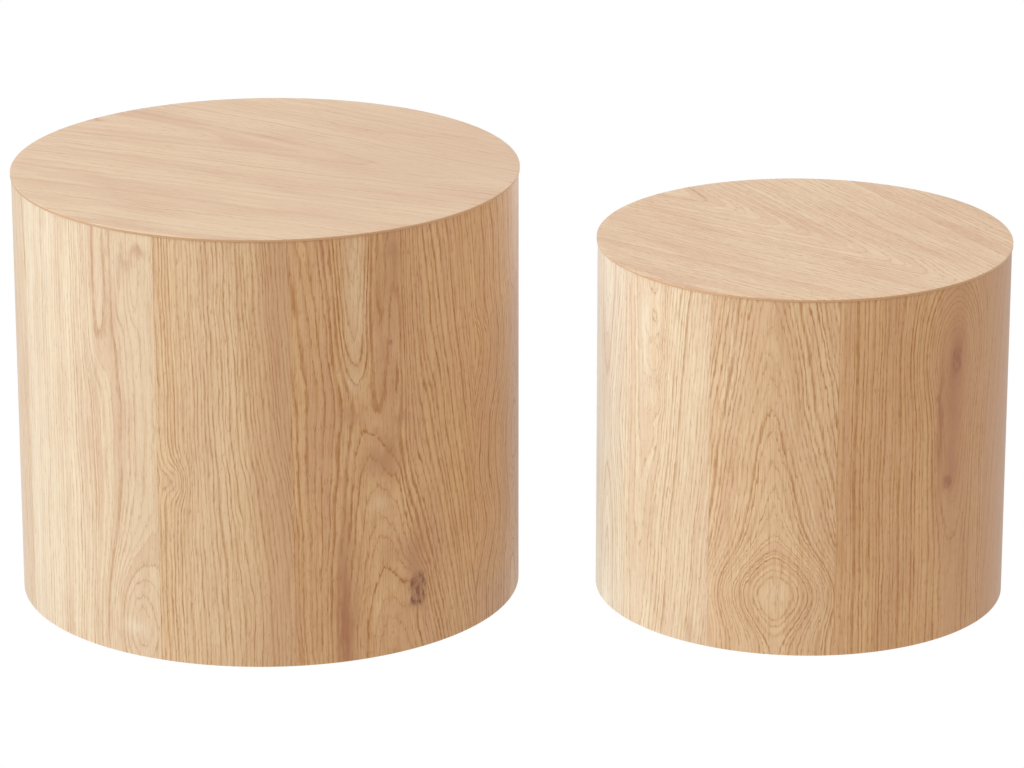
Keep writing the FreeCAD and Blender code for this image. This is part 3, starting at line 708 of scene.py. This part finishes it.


# --- the oak of each table --------------------------------------------------------------------

# The leaves of wall veneer: the seam where each starts, in degrees round from the front towards +X, and
# its figure, which oak() describes. Everything is in mm across a leaf from its middle and up from its
# lower end. Swells, troughs, stains and bleached places are (across, height, width, length, strength);
# knots are (across, height, half width, half length, darkness).
# Some pale tones, stains and bleached places below are painted light and shade, noted at each leaf.
LEAVES = {
    "large": (
        # Painted highlight: this leaf's pale, faint tone and the full-height bleached strip at its left
        # stand in for the key light's bright sheen on the left side; its knots and small marks are
        # figure.
        (-67.0, dict(heart=118, depth=60, taper=0.0, waves=2, jag=1.3,
                     swells=((72, 30, 40, 85, -34), (10, 120, 30, 110, 5)),
                     troughs=((30, 470, 17, 165, -24), (62, 470, 7, 105, -9), (80, 470, 9, 98, -10)),
                     stains_and_painted_shade=((88, 450, 8, 7, 0.75), (72, 436, 9, 8, 0.4), (30, 300, 6, 30, 0.3),
                             (75, 235, 40, 500, 0.12), (88, 90, 5, 22, 0.25)),
                     bleached_and_painted_highlights=((-70, 235, 75, 900, 0.4), (72, 32, 14, 8, 0.5)),
                     spacing=4.4, seed=1, pale=0.70, blush=0.5, contrast=0.66)),
        # Painted highlight: the full-height bleached strip left of this leaf's middle stands in for a
        # band
        # of key light down it, and its pale tone is partly lightened for that light.
        (-22.7, dict(heart=-150, depth=20, taper=0.02, waves=3,
                     swells=((-46, 204, 14, 26, -8), (70, 60, 62, 240, -30)),
                     knots=((-57, 204, 7, 9, 0.10),), stains_and_painted_shade=((62, 235, 25, 500, 0.45),),
                     bleached_and_painted_highlights=((-15, 235, 40, 900, 0.2),),
                     spacing=4.0, seed=2, pale=0.26, blush=0.4, contrast=1.05)),
        (7.6, dict(heart=-1, lean=-0.13, depth=24, taper=0.14, crown=315, reach=85, waves=2.2,
                   swells=((0, 0, ALL, 120, -6), (-46, 490, 26, 70, -12), (3, 195, 10, 50, -4)),
                   troughs=((-47, 470, 21, 160, -18), (3, 470, 17, 212, -26)),
                   knots=((26, 67, 9, 17, 0.95), (-6, 349, 2.0, 2.5, 0.5)),
                   stains_and_painted_shade=((-60, 45, 11, 110, 1.3), (24, 112, 12, 30, 0.6), (-4, 450, 10, 34, 0.7),
                           (0, 365, 15, 90, 0.4), (-18, 350, 6, 50, 0.45), (-16, 222, 22, 20, 0.75),
                           (5, 262, 9, 7, 0.7), (-50, 276, 14, 9, 0.6), (-4, 112, 24, 16, 0.4)),
                   bleached_and_painted_highlights=((-46, 425, 15, 110, 0.62), (-50, 310, 10, 10, 0.35),
                             (-20, 172, 16, 13, 0.45), (-54, 235, 7, 30, 0.3), (-24, 60, 12, 40, 0.15)),
                   spacing=5.0, seed=3, jag=1.7, pale=-0.10, blush=0.8, contrast=1.4)),
        (56.2, dict(heart=10, depth=20, taper=0.02, waves=6,
                    swells=((0, 110, ALL, 50, 18), (0, 300, ALL, 70, 22), (30, 200, 25, 60, -10)),
                    spacing=4.6, seed=4, jag=1.4, pale=0.0, blush=0.7, contrast=1.35)),
        (94.0, dict(heart=-20, depth=12, taper=0.10, swells=((0, 180, ALL, 60, -20),), seed=5)),
        (134.0, dict(heart=90, depth=20, taper=0.12, waves=5, seed=6, pale=0.15)),
        (167.0, dict(heart=0, depth=14, taper=0.11, swells=((0, 300, ALL, 90, 20),),
                     knots=((34, 140, 6, 9, 0.7),), seed=7)),
        (213.0, dict(heart=-95, depth=30, taper=0.14, waves=5, seed=8)),
        # Painted highlight: this leaf at the left edge is made pale and faint for the key light's sheen
        # there.
        (249.5, dict(heart=20, depth=14, taper=0.10, seed=9, pale=0.65, contrast=0.7)),
    ),
    "small": (
        # Painted highlight: this leaf's pale, faint tone stands in for the key light's sheen on the
        # left.
        (-61.0, dict(heart=-40, lean=0.05, depth=20, taper=-0.04, waves=1.5,
                     swells=((-14, 374, 10, 10, 3.5), (-1, 354, 10, 10, -3.5), (-14, 332, 10, 11, 3.5),
                             (-1, 308, 10, 11, -3.5), (-14, 284, 10, 10, 3.5), (-3, 262, 10, 10, -3.5),
                             (-14, 238, 10, 10, 3.5)),
                     troughs=((-8, 395, 15, 195, -9),),
                     stains_and_painted_shade=((-12, 128, 4, 30, 0.4), (38, 12, 6, 14, 0.5)),
                     bleached_and_painted_highlights=((-27, 330, 8, 70, 0.4),),
                     spacing=4.2, seed=11, jag=1.6, pale=0.66, contrast=0.8)),
        # Partly painted highlight: this leaf's pale tone is lightened in part for the key light on the
        # left.
        (-28.8, dict(heart=8, lean=-0.03, depth=12, taper=0.15, waves=2.5,
                     swells=((6, 70, 70, 40, -46), (6, 70, 20, 24, 14), (34, 260, 18, 60, 6)),
                     bleached_and_painted_highlights=((-44, 330, 10, 70, 0.3), (6, 70, 10, 16, 0.3)),
                     stains_and_painted_shade=((8, 380, 8, 60, 0.25), (20, 235, 12, 60, 0.2)),
                     spacing=4.9, seed=12, jag=2.2, pale=0.28, blush=0.5, contrast=1.02)),
        # Painted shade: the broad full-height stain over this leaf's right edge stands in for the shade
        # on
        # the table's right side; its other stains and its knots are figure.
        (6.5, dict(heart=42, depth=34, taper=0.0, waves=2,
                   swells=((46, 325, 44, 56, -30), (42, 225, 26, 90, -16), (40, 430, 70, 45, 14)),
                   knots=((45, 312, 6, 12, 0.4), (35, 177, 5, 6, 0.35)),
                   stains_and_painted_shade=((38, 262, 19, 100, 0.85), (46, 330, 13, 36, 0.3), (22, 250, 3.5, 55, 1.1),
                           (38, 185, 12, 28, 0.35), (75, 235, 45, 500, 0.42)),
                   spacing=4.6, seed=13, jag=1.2, pale=-0.20, blush=0.6, contrast=1.3)),
        # Painted shade: this leaf's dark tone stands in for the shade on the table's right side.
        (57.5, dict(heart=30, depth=30, taper=0.12, seed=14, pale=-0.95, contrast=0.6)),
        (95.0, dict(heart=-10, depth=12, taper=0.11, seed=15, pale=-0.45, contrast=0.9)),
        (131.0, dict(heart=60, depth=20, taper=0.10, waves=5, seed=16, pale=-0.15)),
        (178.0, dict(heart=0, depth=12, taper=0.09, swells=((0, 120, ALL, 60, -18),), seed=17)),
        (212.0, dict(heart=-70, depth=25, taper=0.14, seed=18, pale=0.12)),
        # Painted highlight: this leaf at the left edge is made palest and faint for the key light's
        # sheen.
        (255.5, dict(heart=40, depth=14, taper=0.0, swells=((0, 220, ALL, 100, 15),),
                     seed=19, pale=1.0, contrast=0.7)),
    ),
}

# The tops: how their grain lies, in degrees from +X, and the figure, along the grain from the axis.
TOPS = {
    # Painted shade: the large top's broad stain towards its right and back is the key light's fall-off.
    # Partly painted light: both tops are paler and pinker than the walls (pale, blush, an all-over
    # stain), partly as their own tone and partly for the light that falls on a top from above.
    "large": (-29.0, dict(heart=66, depth=20, taper=0.10, waves=4,
                          stains_and_painted_shade=((0, 0, ALL, ALL, 0.18), (140, 160, 200, 190, 0.20),
                                  (-60, -60, 30, 90, 0.05)),
                          spacing=6.0, seed=21, jag=1.5, pale=0.80, blush=0.7, contrast=0.48)),
    "small": (-50.0, dict(heart=9, depth=16, taper=0.22, waves=3,
                          stains_and_painted_shade=((0, 0, ALL, ALL, 0.14), (115, 96, 130, 130, 0.08)),
                          spacing=5.0, seed=22, jag=1.6, pale=0.66, blush=0.7, contrast=0.78)),
}


def join_table(obj, table, node):
    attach(obj, f"{table}_table")
    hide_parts(node)


def side_veneer(table):
    """The nine leaves. They throw no colour on the other table, as if it weren't there."""
    node = f"{table}_side_veneer"
    middle, r_out, z_low, z_high = axis_of(node)
    joint = math.radians(0.02)
    starts = [start for start, _ in LEAVES[table]]
    ends = starts[1:] + [starts[0] + 360.0]
    for number, ((start, figure), end) in enumerate(zip(LEAVES[table], ends), 1):
        name = f"{table}_oak_leaf_{number}"
        leaf = bent_leaf(
            name, oak(name, **figure), middle, r_out - VENEER, r_out, z_low, z_high,
            FRONT + math.radians(start), FRONT + math.radians(end) - joint,
        )
        join_table(leaf, table, node)
        leaf.visible_diffuse = False


def softened(r, z_low, z_high, radius, count=4):
    """The outside of a board's edge from its low corner up, with the upper corner rounded."""
    points = [(r, z_low)]
    for i in range(count + 1):
        turn = math.radians(90.0) * i / count
        points.append((r - radius * (1 - math.cos(turn)), z_high - radius * (1 - math.sin(turn))))
    return points


def top_veneer(table):
    node = f"{table}_top_veneer"
    middle, r_out, z_low, z_high = axis_of(node)
    grain, figure = TOPS[table]
    profile = [(0.0, z_low), *softened(r_out, z_low, z_high, 0.3 * MM)]
    profile += [(r_out * part, z_high) for part in (0.96, 0.75, 0.5, 0.25, 0.0)]
    name = f"{table}_oak_top"
    flat_map = seen_from_above(math.radians(grain), z_high)
    join_table(lathe(name, oak(name, **figure), middle, profile, flat_map), table, node)


def lipping(table):
    node = f"{table}_top_lipping"
    middle, r_out, z_low, z_high = axis_of(node)
    r_in = r_out - 0.8 * MM
    ease = 0.25 * MM
    profile = [
        (r_in, z_low), (r_out - ease, z_low), (r_out, z_low + ease), (r_out, z_high), (r_in, z_high)
    ]
    name = f"{table}_oak_lipping"
    # Painted shade: the lipping is darkened all over, by a stain and a pale below 0, for the shade
    # under the top's edge.
    material = oak(name, depth=30, taper=0.01, stains_and_painted_shade=((0, 0, ALL, ALL, 0.4),), seed=31, pale=-0.4,
                   contrast=0.5)
    join_table(lathe(name, material, middle, profile, wound_round(r_out)), table, node)


def paint_inside(table, materials):
    """Materials for the pieces that keep their CAD shape."""
    middle, r_out, _, _ = axis_of(f"{table}_side_veneer")
    plywood = bent_plywood(f"{table}_plywood", middle, r_out - VENEER - WALL)
    own = {"wall_front": plywood, "wall_back": plywood, "splices": plywood}
    for piece, material in {**materials, **own}.items():
        node = frame["nodes"][f"{table}_{piece}"]
        for holder in node.material_slots:
            holder.material = material


def raw_materials():
    board = fibreboard("fibreboard", (0.470, 0.330, 0.205, 1.0), (0.370, 0.245, 0.145, 1.0))
    thin = fibreboard("thin_fibreboard", (0.300, 0.175, 0.095, 1.0), (0.220, 0.120, 0.062, 1.0))
    posts, pegs, steel = spruce("spruce"), beech("beech"), zinc("zinc")
    return {
        "top_panel": thin, "top_core": board, "bottom_ring": board, "battens": posts,
        "top_screws": steel, "ring_screws": steel, "top_dowels": pegs, "ring_dowels": pegs,
        "glide_cups": moulded_plastic("glide_plastic"), "felt_pads": felt("felt"), "glide_nails": steel,
    }


# --- camera, light and floor ------------------------------------------------------------------

LENS = 176.9  # mm
SENSOR = 36.0  # mm
CAMERA_PLACE = (0.0, -5.227, 1.989)
CAMERA_TILT = math.radians(90.0 - 18.64)  # from straight down
LAMP_AIM = 0.25  # m above the floor
FLOOR_RADIUS = 40.0  # m
FLOOR_DROP = 0.5 * MM
WHITE = (1.0, 1.0, 1.0, 1.0)
KEY_TINT = (0.74, 1.0, 1.30)

# Softboxes of each table: where from its axis and the floor, size in m, power in W and tint. Each table
# has its own, which the other table doesn't shade, because they are lit as if each stood alone.
SOFTBOXES = {
    "large": (
        ("key", (-2.9, -1.0, 1.0), 2.2, 60.0, KEY_TINT),
        ("fill", (2.9, -0.4, 0.5), 1.6, 4.0, (0.55, 0.9, 1.25)),
        ("edge", (1.5, 2.6, 0.6), 2.0, 12.0, (0.95, 1.0, 1.05)),
    ),
    "small": (
        ("key", (-2.9, -1.0, 1.0), 2.2, 66.0, KEY_TINT),
        ("rim", (-2.6, 1.2, 0.6), 2.2, 30.0, (0.60, 1.0, 1.35)),
    ),
}


def light_table(table):
    """Each softbox is two lamps, one for the top and one for the rest.

    The top takes no gloss from its own, since these low lamps would glare in it when it is seen from
    across the room.
    """
    middle, _, _, _ = axis_of(f"{table}_side_veneer")
    names = ("alone", "top", "rest")
    alone, top, rest = [bpy.data.collections.new(f"{table}_{name}") for name in names]
    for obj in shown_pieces():
        if body_of(obj) == [f"{table}_table"]:
            alone.objects.link(obj)
            (top if obj.name == f"{table}_oak_top" else rest).objects.link(obj)
    for name, offset, size, power, tint in SOFTBOXES[table]:
        for lit in (top, rest):
            lamp = bpy.data.lights.new(f"{name}_{lit.name}", "AREA")
            lamp.size = size
            lamp.energy = power
            lamp.color = tint
            obj = bpy.data.objects.new(lamp.name, lamp)
            obj.location = (middle[0] + offset[0], middle[1] + offset[1], offset[2])
            aim = Vector((*middle, LAMP_AIM)) - obj.location
            obj.rotation_euler = aim.to_track_quat("-Z", "Y").to_euler()
            obj.visible_glossy = lit is rest
            obj.light_linking.receiver_collection = lit
            obj.light_linking.blocker_collection = alone
            bpy.context.scene.collection.objects.link(obj)


def aim_camera():
    camera = bpy.data.objects.new("camera", bpy.data.cameras.new("camera"))
    camera.data.lens = LENS
    camera.data.sensor_width = SENSOR
    camera.location = CAMERA_PLACE
    camera.rotation_euler = (CAMERA_TILT, 0.0, 0.0)
    bpy.context.scene.collection.objects.link(camera)
    bpy.context.scene.camera = camera


def light_world():
    """A white room: plain white for the camera, and a softer light, dimmest from below."""
    world = bpy.data.worlds.new("studio")
    bpy.context.scene.world = world
    g = emptied_graph(world)
    _, _, up = g.parts(g.add("TexCoord").outputs["Generated"])
    level = g.total(g.fit(up, -0.25, 0.15, 0.64, 0.82), g.fit(up, 0.3, 1.0, 0.0, 0.26))
    light = g.add("Background", {"Color": WHITE, "Strength": level})
    seen = g.add("Background", {"Color": WHITE, "Strength": 1.0})
    which = g.add("MixShader", {0: g.add("LightPath").outputs["Is Camera Ray"]})
    g.feed(which.inputs[1], light.outputs[0])
    g.feed(which.inputs[2], seen.outputs[0])
    out = g.add("OutputWorld")
    g.feed(out.inputs["Surface"], which.outputs[0])


def lay_floor():
    """A white floor, just under the felt, that gives no shade and can be looked through from below."""
    bm = bmesh.new()
    bmesh.ops.create_circle(bm, cap_ends=True, radius=FLOOR_RADIUS, segments=96)
    material = bpy.data.materials.new("white_floor")
    g = emptied_graph(material)
    side = g.add("MixShader", {0: g.add("NewGeometry").outputs["Backfacing"]})
    g.feed(side.inputs[1], g.add("Emission", {"Color": WHITE}).outputs[0])
    g.feed(side.inputs[2], g.add("BsdfTransparent").outputs[0])
    out = g.add("OutputMaterial")
    g.feed(out.inputs["Surface"], side.outputs[0])
    floor = finish_mesh("floor", bm, material)
    floor.location.z = -FLOOR_DROP
    floor.visible_diffuse = False
    floor.visible_glossy = False
    floor.visible_shadow = False


inside = raw_materials()
for table in TABLES:
    side_veneer(table)
    top_veneer(table)
    lipping(table)
    paint_inside(table, inside)
    light_table(table)
bpy.context.scene.view_settings.view_transform = "Standard"
bpy.context.scene.view_settings.look = "None"
aim_camera()
light_world()
lay_floor()
